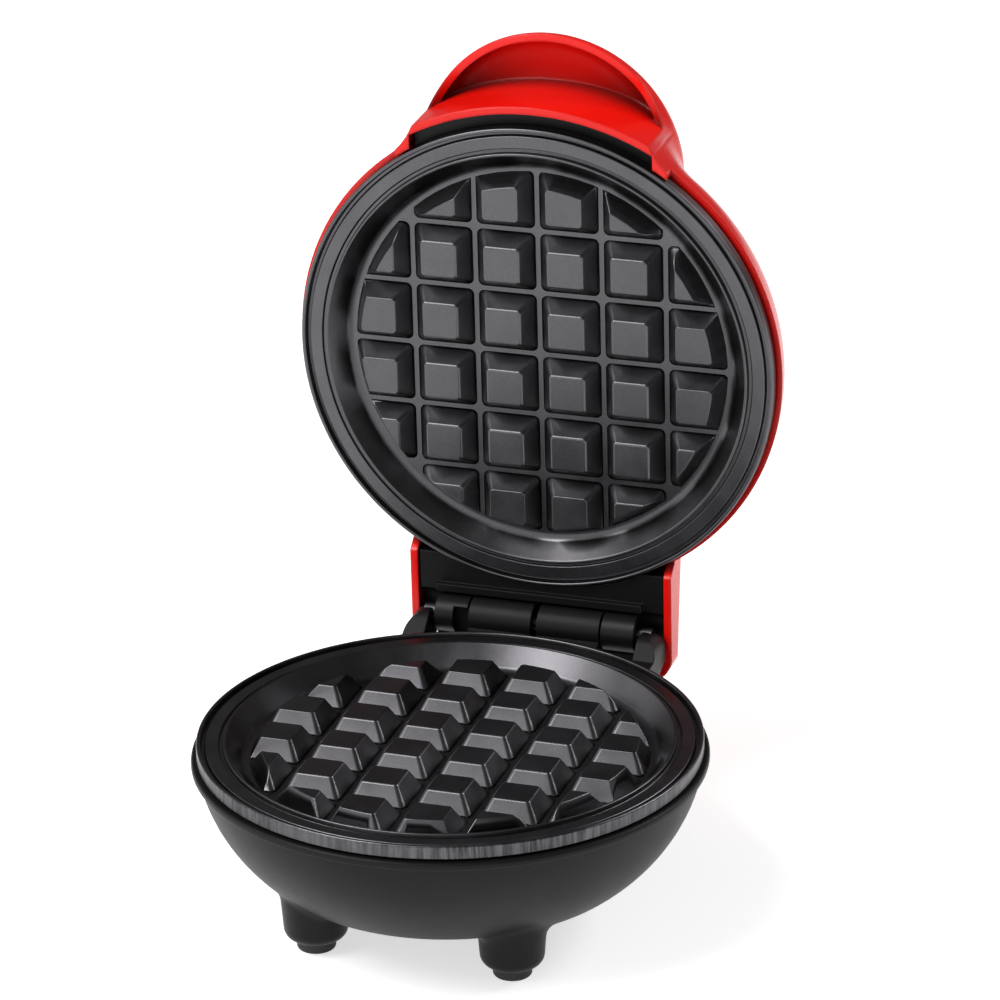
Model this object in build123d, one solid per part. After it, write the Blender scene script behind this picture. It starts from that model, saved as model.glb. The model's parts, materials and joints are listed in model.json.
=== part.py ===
from build123d import *
import math
import os

# Mini waffle maker, standing open. Lengths in millimetres, angles in degrees.
# It is laid out with the plates' centre on the Z axis and the feet on z = 0, the hinge towards +Y
# and the handle towards -Y. The lid is drawn shut and then swung open about the hinge.

# Whole machine
PARTING_Z = 47.0
HINGE_OFFSET = 9.9
HINGE_DROP = 1.0
OPEN_ANGLE = 88.0
HINGE_Z = PARTING_Z - HINGE_DROP
CUT = 60.0

# Cooking plates
GRID_CELLS = 6
GRID_SHARE = 0.326
CHANNEL = 1.9
BLOCK_HEIGHT = 4.88
BLOCK_DRAFT = 29.1
BLOCK_CORNER = 1.5
BLOCK_TOP_CORNER = 0.5
BLOCK_TOP_DROP = 1.0
SKIRT_R = 62.1
FLANGE = 7.1
BANK = 4.1
FLOOR_RING = 1.9
FACE_DROP = 0.2
BEAD_WIDTH = 0.6
BEAD_SLOPE = 0.4
RING_DROP = 0.7
RING_WIDTH = 3.4
GROOVE_DROP = 1.4
GROOVE_WIDTH = 1.3
GROOVE_SLOPE = 0.2
FLANGE_WALL = 1.2
MOUTH_R = SKIRT_R - FLANGE
FLOOR_R = MOUTH_R - BANK
RING_START_R = MOUTH_R + BEAD_WIDTH + BEAD_SLOPE
RING_END_R = RING_START_R + RING_WIDTH
GROOVE_END_R = RING_END_R + GROOVE_SLOPE + GROOVE_WIDTH
GRID_PITCH = GRID_SHARE * FLOOR_R
SKIRT_EDGE = 0.6
SKIRT_DEPTH = 3.6
PLATE_WALL = 2.0
PLATE_FLOOR = 2.2
BOSS_R = 3.5
BOSS_HEIGHT = 7.0
PILOT_DEPTH = 6.0

# Heating elements, between two ribs on the back of each plate
ELEMENT_R = 30.0
ELEMENT_TUBE_R = 3.25
ELEMENT_GAP_ANGLE = 24.0
ELEMENT_LEAD_IN = 8.0
ELEMENT_BEND_R = 4.5
LOWER_TAIL = 13.0
UPPER_TAIL = 5.5
RIB_WALL = 1.4
RIB_HEIGHT = 2.8
PIN_R = 1.2
PIN_LENGTH = 4.0

# Heat shields
SHIELD_WALL = 0.6
LOWER_SHIELD_MARGIN = 6.9
UPPER_SHIELD_MARGIN = 14.1
SHIELD_RIM = 4.0
SHIELD_BEND_R = 1.1
SHIELD_WINDOW_R = 11.0

# Base housing
BOWL_MARGIN = 0.3
BOWL_TOP_DROP = 4.8
BOWL_CURVE_R = 42.8
BOWL_CURVE_RISE = 6.0
BOWL_FLOOR_Z = 13.6
BOWL_WALL = 2.8
BOWL_CORNER = 3.0
LIP_WIDTH = 1.1
LIP_TOP_DROP = 4.1
LIP_HEIGHT = 1.9
LIP_EDGE = 0.8
SPIGOT_WALL = 1.7
FRONT_LEG_INSET = 20.6
REAR_LEG_INSET = 7.9
FRONT_LEG_MARGIN = 22.7541
REAR_LEG_MARGIN = 12.3103
LEG_END_R = 7.7
LEG_TOP_R = 10.0
LEG_END_Z = 2.9
LEG_TOP_Z = 33.0
LEG_ROUND = 3.0
LEG_BLEND = 4.0
POST_R = 3.8
SCREW_SHOULDER = 4.0

# Rubber feet
FOOT_R = 4.8
FOOT_ROUND = 0.8
FOOT_STEM_R = 3.1
FOOT_STEM = 3.0

# Screws
SCREW_R = 1.5
HEAD_R = 2.8
HEAD_HEIGHT = 1.8
SMALL_SCREW_R = 1.2
SMALL_HEAD_R = 2.2
SMALL_HEAD = 1.3

# Hinge
PIVOT_R = 2.0
BARREL_R = 5.0
BARREL_GAP = 1.6
BARREL_END_X = 17.5
KNUCKLE_START_X = 18.0
KNUCKLE_END_X = 26.7
NOTCH_WIDTH = 3.7
EAR_START_X = 28.0
EAR_END_X = 33.7
EAR_TOP_Z = 47.4
EAR_ROUND = 4.5
EAR_REACH = 0.8
EAR_SLOPE = 7.0
PEDESTAL_DEPTH = 6.0
PEDESTAL_LOW_Z = 30.0
TROUGH_WALL = 2.0
TROUGH_GAP = 0.8

# Lid shell
SHELL_LIFT = 0.8
SHELL_MARGIN = 1.7
EDGE_RISE = 3.7
EDGE_ROUND = 4.0
SHELL_DRAFT = 0.09
SHELL_HEIGHT = 23.4
SHELL_WALL = 2.0
SHOULDER_POWER = 4.0
HANDLE_LENGTH = 17.4
HANDLE_R = 33.0
HANDLE_FLARE = 3.5
HANDLE_ROUND = 7.0
HANDLE_BLEND_R = 20.0
HANDLE_RIM = 2.0
POCKET_ROUND = 10.0
ARCH_HEIGHT = 16.5
ARCH_FOOT_X = 34.2
ARCH_TOP_X = 31.5
ARCH_CORNER = 11.0
LIP_END_X = 35.2
SCOOP_MARGIN = 3.8
SCOOP_WALL = 1.9
FRONT_GAP_HALF_WIDTH = 31.5
FRONT_GAP_HEIGHT = 18.0
TAIL_HALF_WIDTH = 35.0
TAIL_LENGTH = 14.0
TAIL_CORNER = 8.0
TAIL_SIDE_CORNER = 6.0
TAIL_HEIGHT = 10.0
TAIL_RISE = 7.5
TAIL_DRAFT = 1.5

# Lid frame
FRAME_MARGIN = 1.4
FRAME_RING_WIDTH = 4.4
FRAME_RING_HEIGHT = 2.5
FRAME_WALL = 2.0
PAN_MARGIN = 10.2
PAN_INNER_R = 17.0
PANEL_LIFT = 1.4
PANEL_LAP = 1.0
PANEL_GAP = 0.4
SHELL_POST_R = 3.0
SHELL_POST_X = 27.0
SHELL_POST_INSET = 4.0
REST_POST_MARGIN = 20.1

# Controls inside the base
THERMOSTAT_R = 8.0
THERMOSTAT_CAP = 1.2
THERMOSTAT_BODY = 8.0
BRACKET_WIDTH = 9.0
BRACKET_WALL = 0.8
BRACKET_HOLE_X = 14.0
BLADE = (0.8, 6.3, 7.0)
BLADE_X = 4.0
FUSE_R = 2.0
FUSE_LENGTH = 11.0
FUSE_Y = -19.0
FUSE_WIRE_R = 0.5
FUSE_WIRE = 7.0
CLIP_WIDTH = 5.0
BLOCK_SIZE = (28.0, 12.0, 8.0)
BLOCK_Y = 19.0
BLOCK_WAYS = 3
GLAND_Z = 22.5
GLAND_INSET = 4.4
GLAND_NOSE_R = 6.6
GLAND_NECK_R = 4.0
GLAND_FLANGE_R = 5.4
GLAND_FLANGE = 1.4
CORD_BORE_R = 2.8

# Indicator in the lid
LENS_Y = 21.5
LENS_R = 3.5
LENS_FLANGE_R = 4.4
LENS_FLANGE = 0.8
LENS_CROWN = 0.7
LAMP_R = 1.3
LAMP_LENGTH = 8.0
HOLDER_WALL = 0.9
HOLDER_FLOOR = 0.4

# Clearances
PIVOT_CLEARANCE = 0.05
SCREW_CLEARANCE = 0.2
THREAD_CLEARANCE = 0.02
SEAT_CLEARANCE = 0.1
LOOSE_CLEARANCE = 0.5

# Heights and radii that follow from the sizes above
PLATE_BACK = BLOCK_TOP_DROP + BLOCK_HEIGHT + PLATE_FLOOR
BOSS_END = PLATE_BACK + BOSS_HEIGHT
SKIRT_INNER_R = SKIRT_R - PLATE_WALL
HINGE_Y = SKIRT_R + HINGE_OFFSET
LOWER_SHIELD_R = SKIRT_R - LOWER_SHIELD_MARGIN
UPPER_SHIELD_R = SKIRT_R - UPPER_SHIELD_MARGIN
BOWL_TOP_R = SKIRT_R + BOWL_MARGIN
LIP_R = BOWL_TOP_R + LIP_WIDTH
FRONT_LEG_Y = -(FLOOR_R - FRONT_LEG_INSET)
REAR_LEG_Y = FLOOR_R - REAR_LEG_INSET
FRONT_LEG_X = math.sqrt((SKIRT_R - FRONT_LEG_MARGIN) ** 2 - FRONT_LEG_Y**2)
REAR_LEG_X = math.sqrt((SKIRT_R - REAR_LEG_MARGIN) ** 2 - REAR_LEG_Y**2)
PEDESTAL_Y = HINGE_Y - PEDESTAL_DEPTH
GLAND_END_Y = BOWL_TOP_R - GLAND_INSET
SHELL_R = SKIRT_R + SHELL_MARGIN
HANDLE_REACH = SHELL_R + HANDLE_LENGTH
SCOOP_R = SHELL_R + SCOOP_MARGIN
TAIL_END_Y = HINGE_Y + TAIL_LENGTH
FRAME_R = SKIRT_R - FRAME_MARGIN
FRAME_RING_INNER_R = FRAME_R - FRAME_RING_WIDTH
PAN_TOP_R = SKIRT_R - PAN_MARGIN
REST_POST_X = SKIRT_R - REST_POST_MARGIN
BOWL_TOP_Z = PARTING_Z - BOWL_TOP_DROP
CURVE_Z = BOWL_TOP_Z + BOWL_CURVE_RISE
CURVE_X = BOWL_TOP_R - math.sqrt(BOWL_CURVE_R**2 - BOWL_CURVE_RISE**2)
LOWER_SHIELD_Z = PARTING_Z - BOSS_END - SHIELD_WALL
SHELL_Z = PARTING_Z + SHELL_LIFT
PAN_Z = PARTING_Z + BOSS_END + SHIELD_WALL
PANEL_Z = PARTING_Z + PANEL_LIFT
FRAME_RING_Z = PARTING_Z + SKIRT_DEPTH + LOOSE_CLEARANCE
TROUGH_R = BARREL_R + TROUGH_GAP
FRONT_LEGS = [(-FRONT_LEG_X, FRONT_LEG_Y), (FRONT_LEG_X, FRONT_LEG_Y)]
REAR_LEGS = [(-REAR_LEG_X, REAR_LEG_Y), (REAR_LEG_X, REAR_LEG_Y)]
LEG_PLACES = FRONT_LEGS + REAR_LEGS
LID_PLACES = [(x, side * y) for x, y in FRONT_LEGS for side in (1, -1)]
PAN_TOP = PAN_Z + FRAME_WALL
PIVOT_HOLE_X = EAR_END_X - 3.0
GLAND_DEPTH = 5.4
LEVELS = (0.0, 0.1, 0.25, 0.42, 0.6, 0.73, 0.83, 0.91, 0.96, 0.987)
POCKET_LEVELS = (0.0, 0.2, 0.4, 0.6, 0.78, 0.9, 0.97, 1.0)
SHELL_TOP = SHELL_Z + LEVELS[-1] * SHELL_HEIGHT
SHELL_CEILING = SHELL_Z + LEVELS[-1] * (SHELL_HEIGHT - SHELL_WALL)


def rounded_face(corners):
    """Closed outline from (x, y, corner radius) entries."""
    points = [(x, y) for x, y, _ in corners]
    return make_face(FilletPolyline(*points, radius=[r for _, _, r in corners], close=True))


def turned(corners):
    """Solid of revolution about Z from (radius, height, corner radius) entries."""
    return revolve(Plane.XZ * rounded_face(corners), Axis.Z)


def ring(outer_r, inner_r, low, high):
    """Flat ring between two heights."""
    body = Pos(0, 0, low) * extrude(Circle(outer_r), high - low)
    return body - Pos(0, 0, low) * extrude(Circle(inner_r), high - low)


def rod(x, y, r, low, high):
    """Upright round bar."""
    return Pos(x, y, low) * extrude(Circle(r), high - low)


def rod_x(y, z, r, start, end):
    """Round bar along X."""
    return Plane(origin=(start, y, z), z_dir=(1, 0, 0)) * extrude(Circle(r), end - start)


def box(x0, x1, y0, y1, z0, z1):
    """Box from its limits."""
    middle = Pos((x0 + x1) / 2, (y0 + y1) / 2, (z0 + z1) / 2)
    return middle * Box(x1 - x0, y1 - y0, z1 - z0)


def joined(solids):
    """Separate solids that share one file."""
    return Compound([part.solid() for part in solids])


def swung_open(part):
    """The lid's piece at the open stop."""
    return part.rotate(Axis((0, HINGE_Y, HINGE_Z), (1, 0, 0)), -OPEN_ANGLE)


def face_down(part):
    """A piece of the lower plate group turned over to face it across the parting plane."""
    return Pos(0, 0, PARTING_Z) * part.rotate(Axis.X, 180)


def face_up(part):
    """A piece of the lower plate group at its height above the table."""
    return Pos(0, 0, PARTING_Z) * part


def screw(shank_r, head_r, head_height, length):
    """Pan-head screw, its head's seat at z = 0 and the shank upwards."""
    return turned([
        (0, -head_height, 0),
        (head_r, -head_height, head_height * 0.6),
        (head_r, 0, 0),
        (shank_r, 0, 0),
        (shank_r, length, shank_r * 0.3),
        (0, length, 0),
    ])


def waffle_block():
    """One tapered block of the grid, standing on z = 0."""
    base = GRID_PITCH - CHANNEL
    top = base - 2 * BLOCK_HEIGHT * math.tan(math.radians(BLOCK_DRAFT))
    low = RectangleRounded(base, base, BLOCK_CORNER)
    high = Pos(0, 0, BLOCK_HEIGHT) * RectangleRounded(top, top, BLOCK_TOP_CORNER)
    return loft([low, high])


def waffle_grid():
    """The blocks of a plate on z = 0; the outer ones are cut to the round floor."""
    block = waffle_block()
    inset = BLOCK_HEIGHT * math.tan(math.radians(BLOCK_DRAFT))
    limit_r = FLOOR_R - FLOOR_RING
    limit = Cone(limit_r, limit_r - inset, BLOCK_HEIGHT, align=(Align.CENTER, Align.CENTER, Align.MIN))
    half_cell = (GRID_PITCH - CHANNEL) / 2
    blocks = []
    for column in range(GRID_CELLS):
        for row in range(GRID_CELLS):
            x = (column - (GRID_CELLS - 1) / 2) * GRID_PITCH
            y = (row - (GRID_CELLS - 1) / 2) * GRID_PITCH
            if math.hypot(x, y) > limit_r:
                continue
            placed = Pos(x, y, 0) * block
            if math.hypot(abs(x) + half_cell, abs(y) + half_cell) > limit_r:
                placed = placed & limit
            blocks.append(placed)
    return blocks


def cooking_plate(boss_places, has_studs):
    """Cast plate facing up, with the parting plane at z = 0."""
    floor = -(BLOCK_TOP_DROP + BLOCK_HEIGHT)
    back = -PLATE_BACK
    flange_back = -(GROOVE_DROP + FLANGE_WALL)
    plate = turned([
        (0, floor, 0),
        (FLOOR_R, floor, PLATE_WALL),
        (MOUTH_R, -FACE_DROP, 0.2),
        (MOUTH_R + BEAD_WIDTH, -FACE_DROP, 0.2),
        (RING_START_R, -RING_DROP, 0.1),
        (RING_END_R, -RING_DROP, 0.3),
        (RING_END_R + GROOVE_SLOPE, -GROOVE_DROP, 0),
        (GROOVE_END_R, -GROOVE_DROP, 0),
        (GROOVE_END_R + GROOVE_SLOPE, -FACE_DROP, 0.2),
        (SKIRT_R, -FACE_DROP, SKIRT_EDGE),
        (SKIRT_R, -SKIRT_DEPTH, 0),
        (SKIRT_INNER_R, -SKIRT_DEPTH, 0),
        (SKIRT_INNER_R, flange_back, 0),
        (MOUTH_R + PLATE_WALL, flange_back, PLATE_WALL),
        (FLOOR_R + PLATE_WALL, back, PLATE_WALL),
        (0, back, 0),
    ])
    plate = plate + [Pos(0, 0, floor) * block for block in waffle_grid()]
    rib_reach = ELEMENT_TUBE_R + SEAT_CLEARANCE
    gap = ELEMENT_R * math.sin(math.radians(ELEMENT_GAP_ANGLE)) + RIB_WALL
    for inner_r in (ELEMENT_R - rib_reach - RIB_WALL, ELEMENT_R + rib_reach):
        rib = ring(inner_r + RIB_WALL, inner_r, back - RIB_HEIGHT, back)
        plate = plate + (rib - box(-gap, gap, 0, FLOOR_R, back - RIB_HEIGHT, back))
    solids = [rod(x, y, BOSS_R, -BOSS_END, floor - PLATE_FLOOR / 2) for x, y in boss_places]
    if has_studs:
        for x in (-BRACKET_HOLE_X, BRACKET_HOLE_X):
            solids.append(rod(x, 0, BOSS_R, back - THERMOSTAT_CAP, back))
        solids.append(rod(0, FUSE_Y, BOSS_R, back - FUSE_R, back))
    pilot_r = SCREW_R + THREAD_CLEARANCE
    holes = [rod(x, y, pilot_r, -BOSS_END, PILOT_DEPTH - BOSS_END) for x, y in boss_places]
    return plate + solids - holes


def element(tail):
    """Tubular heating ring against the back of the plate, its two ends bent away from it."""
    z = -(PLATE_BACK + SEAT_CLEARANCE + ELEMENT_TUBE_R)
    start = 90 + ELEMENT_GAP_ANGLE
    arc = CenterArc((0, 0, z), ELEMENT_R, start, 360 - 2 * ELEMENT_GAP_ANGLE)
    pieces = [arc]
    pins = []
    for point, direction in ((arc @ 1, arc % 1), (arc @ 0, (arc % 0) * -1)):
        corner = point + direction * ELEMENT_LEAD_IN
        end = corner + Vector(0, 0, -tail)
        pieces.append(FilletPolyline(point, corner, end, radius=ELEMENT_BEND_R))
        pins.append(rod(end.X, end.Y, PIN_R, end.Z - PIN_LENGTH, end.Z))
    path = Wire(Curve(children=pieces).edges())
    tube = sweep(Plane(origin=path @ 0, z_dir=path % 0) * Circle(ELEMENT_TUBE_R), path)
    return tube + pins


def element_pin_places():
    """Where the element's ends pass the heat shield."""
    angle = math.radians(90 - ELEMENT_GAP_ANGLE)
    x = ELEMENT_R * math.cos(angle) - ELEMENT_LEAD_IN * math.sin(angle)
    y = ELEMENT_R * math.sin(angle) + ELEMENT_LEAD_IN * math.cos(angle)
    return [(-x, y), (x, y)]


def heat_shield(radius, places, has_window):
    """Pressed steel tray under the plate's bosses."""
    top = -BOSS_END
    low = top - SHIELD_WALL
    tray = turned([
        (0, low, 0),
        (radius, low, SHIELD_BEND_R + SHIELD_WALL),
        (radius, low + SHIELD_RIM, 0),
        (radius - SHIELD_WALL, low + SHIELD_RIM, 0),
        (radius - SHIELD_WALL, top, SHIELD_BEND_R),
        (0, top, 0),
    ])
    holes = [rod(x, y, SCREW_R + SCREW_CLEARANCE, low, top) for x, y in places]
    element_hole_r = ELEMENT_TUBE_R + LOOSE_CLEARANCE
    holes += [rod(x, y, element_hole_r, low, top) for x, y in element_pin_places()]
    if has_window:
        holes.append(rod(0, 0, SHIELD_WINDOW_R, low, top))
    return tray - holes


def bowl_radius(z, inset):
    """Radius of the bowl's side at a height, on its outer face or a wall's depth inside it."""
    return CURVE_X + math.sqrt((BOWL_CURVE_R - inset) ** 2 - (z - CURVE_Z) ** 2)


def bowl_body(inset, low, high):
    """Solid that fills the bowl up to a height, to its outer face or a wall's depth inside it."""
    middle = (low + high) / 2
    side = [(bowl_radius(z, inset), z) for z in (low, middle, high)]
    outline = Curve() + [
        Line((0, low), side[0]),
        ThreePointArc(*side),
        Line(side[2], (0, high)),
        Line((0, high), (0, low)),
    ]
    return revolve(Plane.XZ * make_face(outline.edges()), Axis.Z)


def leg(x, y):
    """Tapered leg with a rounded end."""
    return Pos(x, y, 0) * turned([
        (0, LEG_END_Z, 0),
        (LEG_END_R, LEG_END_Z, LEG_ROUND),
        (LEG_TOP_R, LEG_TOP_Z, 0),
        (0, LEG_TOP_Z, 0),
    ])


def bowl_with_legs():
    """Closed bowl with its four legs blended in."""
    body = bowl_body(0, BOWL_FLOOR_Z, BOWL_TOP_Z)
    body = fillet(body.edges().sort_by(Axis.Z)[0], BOWL_CORNER)
    for x, y in LEG_PLACES:
        body = body + leg(x, y)
        root = []
        for edge in body.edges():
            middle = edge @ 0.5
            if math.hypot(middle.X - x, middle.Y - y) < LEG_TOP_R and middle.Z > LEG_END_Z + LEG_ROUND:
                root.append(edge)
        body = fillet(root, LEG_BLEND)
    return body


def pedestal():
    """Block at the back of the bowl that carries the hinge, drafted down into the bowl."""
    top = BOWL_TOP_Z + LIP_EDGE
    side = rounded_face([
        (CUT / 2, PEDESTAL_LOW_Z, 0),
        (FLOOR_R, PEDESTAL_LOW_Z, 0),
        (PEDESTAL_Y, HINGE_Z - BARREL_R - BARREL_R, 2.0),
        (PEDESTAL_Y, top, 1.0),
        (CUT / 2, top, 0),
    ])
    plane = Plane(origin=(-EAR_END_X, 0, 0), z_dir=(1, 0, 0), x_dir=(0, 1, 0))
    return plane * extrude(side, 2 * EAR_END_X)


def ear(side):
    """Rounded cheek beside the hinge, side -1 at the left and 1 at the right."""
    outline = rounded_face([
        (side * EAR_START_X, PEDESTAL_LOW_Z, 0),
        (side * EAR_END_X, PEDESTAL_LOW_Z, 0),
        (side * EAR_END_X, EAR_TOP_Z, EAR_ROUND),
        (side * EAR_START_X, EAR_TOP_Z, 0.6),
    ])
    depth = HINGE_Y + EAR_REACH - FLOOR_R
    cheek = Plane.XZ.offset(-(HINGE_Y + EAR_REACH)) * extrude(outline, depth)
    trim = rounded_face([
        (FLOOR_R, PEDESTAL_LOW_Z, 0),
        (HINGE_Y + EAR_REACH, HINGE_Z - BARREL_R - 1.0, 2.0),
        (HINGE_Y + EAR_REACH, EAR_TOP_Z, EAR_ROUND / 2),
        (HINGE_Y - BARREL_R, EAR_TOP_Z, EAR_ROUND),
        (HINGE_Y - BARREL_R - EAR_SLOPE, BOWL_TOP_Z - 1.0, 0),
        (FLOOR_R, BOWL_TOP_Z - 1.0, 0),
    ])
    slab = Plane(origin=(-CUT, 0, 0), z_dir=(1, 0, 0), x_dir=(0, 1, 0)) * extrude(trim, 2 * CUT)
    return cheek & slab


def base_barrels():
    """The two long hinge barrels and the web that joins them to the bowl."""
    web_side = rounded_face([
        (PEDESTAL_Y - 4.0, HINGE_Z - BARREL_R - 4.0, 0),
        (HINGE_Y - 1.0, HINGE_Z - BARREL_R - 0.0, 0),
        (HINGE_Y - 1.0, HINGE_Z, 0),
        (HINGE_Y - BARREL_R + 0.6, HINGE_Z - 1.5, 0),
        (PEDESTAL_Y - 4.0, BOWL_TOP_Z - 0.5, 0),
    ])
    solids = []
    for start, end in ((-BARREL_END_X, -BARREL_GAP / 2), (BARREL_GAP / 2, BARREL_END_X)):
        solids.append(rod_x(HINGE_Y, HINGE_Z, BARREL_R, start, end))
        plane = Plane(origin=(start, 0, 0), z_dir=(1, 0, 0), x_dir=(0, 1, 0))
        solids.append(plane * extrude(web_side, end - start))
    return solids


def base_housing():
    """Moulded bowl with four legs, the plate's posts and the fixed half of the hinge."""
    lip_top = PARTING_Z - LIP_TOP_DROP
    spigot_r = SKIRT_INNER_R - LOOSE_CLEARANCE
    spigot_top = PARTING_Z - GROOVE_DROP - FLANGE_WALL - LOOSE_CLEARANCE
    lip = turned([
        (spigot_r - SPIGOT_WALL, lip_top - LIP_HEIGHT, 0),
        (LIP_R, lip_top - LIP_HEIGHT, 0.4),
        (LIP_R, lip_top, LIP_EDGE),
        (spigot_r, lip_top, 0),
        (spigot_r, spigot_top, 0.4),
        (spigot_r - SPIGOT_WALL, spigot_top, 0.4),
    ])
    nose = Plane.XZ.offset(-GLAND_END_Y) * Pos(0, GLAND_Z) * extrude(Circle(GLAND_NOSE_R), CUT / 3)
    body = bowl_with_legs() + [nose, pedestal(), ear(-1), ear(1)]
    inside_low = BOWL_FLOOR_Z + BOWL_WALL
    body = body - bowl_body(BOWL_WALL, inside_low, BOWL_TOP_Z)
    body = body - ring(spigot_r - SPIGOT_WALL, 0.01, lip_top - LIP_HEIGHT, PARTING_Z + CUT)
    body = body + lip
    body = body + base_barrels()
    body = body + [rod(x, y, POST_R, inside_low - 1.0, LOWER_SHIELD_Z) for x, y in LEG_PLACES]
    cuts = [rod_x(HINGE_Y, HINGE_Z, PIVOT_R + THREAD_CLEARANCE, -PIVOT_HOLE_X, PIVOT_HOLE_X)]
    for x, y in LEG_PLACES:
        cuts.append(rod(x, y, SCREW_R + SCREW_CLEARANCE, 0, LOWER_SHIELD_Z))
        cuts.append(rod(x, y, HEAD_R + LOOSE_CLEARANCE, 0, LEG_END_Z + FOOT_STEM + SCREW_SHOULDER))
    gland_plane = Plane.XZ.offset(-GLAND_END_Y) * Pos(0, GLAND_Z)
    cuts.append(gland_plane * extrude(Circle(GLAND_NECK_R + SEAT_CLEARANCE), CUT / 3))
    return body - cuts


def hinge_pin():
    """Steel pin through both halves of the hinge, its ends held in the cheeks."""
    end = PIVOT_HOLE_X - SEAT_CLEARANCE
    return rod_x(HINGE_Y, HINGE_Z, PIVOT_R, -end, end)


def rubber_foot():
    """Foot pad with a stem that plugs the screw's recess in the leg."""
    stem_r = HEAD_R + LOOSE_CLEARANCE - THREAD_CLEARANCE
    return turned([
        (0, 0, 0),
        (FOOT_R, 0, FOOT_ROUND),
        (FOOT_R, LEG_END_Z, 0),
        (stem_r, LEG_END_Z, 0),
        (stem_r, LEG_END_Z + FOOT_STEM - SEAT_CLEARANCE, 0.4),
        (0, LEG_END_Z + FOOT_STEM - SEAT_CLEARANCE, 0),
    ])


def base_screws():
    """Four long screws up through the legs and the shield into the plate's bosses."""
    seat = LEG_END_Z + FOOT_STEM + SCREW_SHOULDER
    length = PARTING_Z - BOSS_END + PILOT_DEPTH - 1.0 - seat
    long_screw = screw(SCREW_R, HEAD_R, HEAD_HEIGHT, length)
    return joined([Pos(x, y, seat) * long_screw for x, y in LEG_PLACES])


def thermostat():
    """Disc thermostat with its sensing cap against the plate and two blade terminals."""
    cap_top = -PLATE_BACK
    cap_low = cap_top - THERMOSTAT_CAP
    body_low = cap_low - THERMOSTAT_BODY
    body_r = THERMOSTAT_R - 1.0
    body = turned([
        (0, body_low, 0),
        (body_r, body_low, 0.5),
        (body_r, cap_low, 0),
        (THERMOSTAT_R, cap_low, 0),
        (THERMOSTAT_R, cap_top, 0.4),
        (0, cap_top, 0),
    ])
    thickness, width, length = BLADE
    for x in (-BLADE_X, BLADE_X):
        half = thickness / 2
        body = body + box(x - half, x + half, -width / 2, width / 2, body_low - length, body_low)
    return body


def bracket():
    """Strap that holds the thermostat's cap against the plate."""
    low = -(PLATE_BACK + THERMOSTAT_CAP + BRACKET_WALL)
    high = low + BRACKET_WALL
    outline = SlotCenterToCenter(2 * BRACKET_HOLE_X, BRACKET_WIDTH) + Circle(THERMOSTAT_R + 1.5)
    strap = Pos(0, 0, low) * extrude(outline, BRACKET_WALL)
    hole_r = SMALL_SCREW_R + SCREW_CLEARANCE
    holes = [rod(x, 0, hole_r, low, high) for x in (-BRACKET_HOLE_X, BRACKET_HOLE_X)]
    holes.append(rod(0, 0, THERMOSTAT_R - 1.0 + SEAT_CLEARANCE, low, high))
    return strap - holes


def fuse_place():
    """Y and Z of the thermal fuse's axis: beside its stud and against the plate's back."""
    return FUSE_Y + BOSS_R + FUSE_R + SEAT_CLEARANCE, -(PLATE_BACK + FUSE_R)


def thermal_fuse():
    """One-shot fuse lying on the plate's back, with a wire at each end."""
    y, z = fuse_place()
    half = FUSE_LENGTH / 2
    body = rod_x(y, z, FUSE_R - THREAD_CLEARANCE, -half, half)
    return body + rod_x(y, z, FUSE_WIRE_R, -half - FUSE_WIRE, half + FUSE_WIRE)


def fuse_clip():
    """Strap over the thermal fuse, screwed to its own stud on the plate."""
    y, top = fuse_place()
    half = CLIP_WIDTH / 2
    saddle_r = FUSE_R + BRACKET_WALL + SEAT_CLEARANCE
    strap = box(-half, half, FUSE_Y - BOSS_R, y, top - BRACKET_WALL, top)
    strap = strap + rod_x(y, top, saddle_r, -half, half)
    strap = strap - rod_x(y, top, FUSE_R + SEAT_CLEARANCE, -half, half)
    strap = strap - box(-half, half, y - saddle_r, y + saddle_r, top, top + saddle_r)
    return strap - rod(0, FUSE_Y, SMALL_SCREW_R + SCREW_CLEARANCE, top - BRACKET_WALL, top)


def bracket_screws():
    """Three small screws that hold the thermostat's strap and the fuse's clip."""
    short = screw(SMALL_SCREW_R, SMALL_HEAD_R, SMALL_HEAD, BRACKET_WALL)
    strap_seat = -(PLATE_BACK + THERMOSTAT_CAP + BRACKET_WALL)
    clip_seat = -(PLATE_BACK + FUSE_R + BRACKET_WALL)
    screws = [Pos(x, 0, strap_seat) * short for x in (-BRACKET_HOLE_X, BRACKET_HOLE_X)]
    screws.append(Pos(0, FUSE_Y, clip_seat) * short)
    return joined([face_up(one) for one in screws])


def terminal_ways():
    """X of each way of the terminal block."""
    step = BLOCK_SIZE[0] / BLOCK_WAYS
    return [(way - (BLOCK_WAYS - 1) / 2) * step for way in range(BLOCK_WAYS)]


def terminal_block():
    """Ceramic block on the bowl's floor, a well for a screw in each way."""
    length, width, height = BLOCK_SIZE
    low = BOWL_FLOOR_Z + BOWL_WALL
    top = low + height
    front = BLOCK_Y - width / 2
    back = BLOCK_Y + width / 2
    block = box(-length / 2, length / 2, front, back, low, top)
    well_r = SMALL_HEAD_R + SCREW_CLEARANCE
    thread_r = SMALL_SCREW_R + THREAD_CLEARANCE
    half = width / 4
    for x in terminal_ways():
        block = block - rod(x, BLOCK_Y, well_r, low + height / 2, top)
        block = block - rod(x, BLOCK_Y, thread_r, low + 1.0, low + height / 2)
        block = block - box(x - half, x + half, front, back, top - 2.0, top)
    return block


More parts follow.
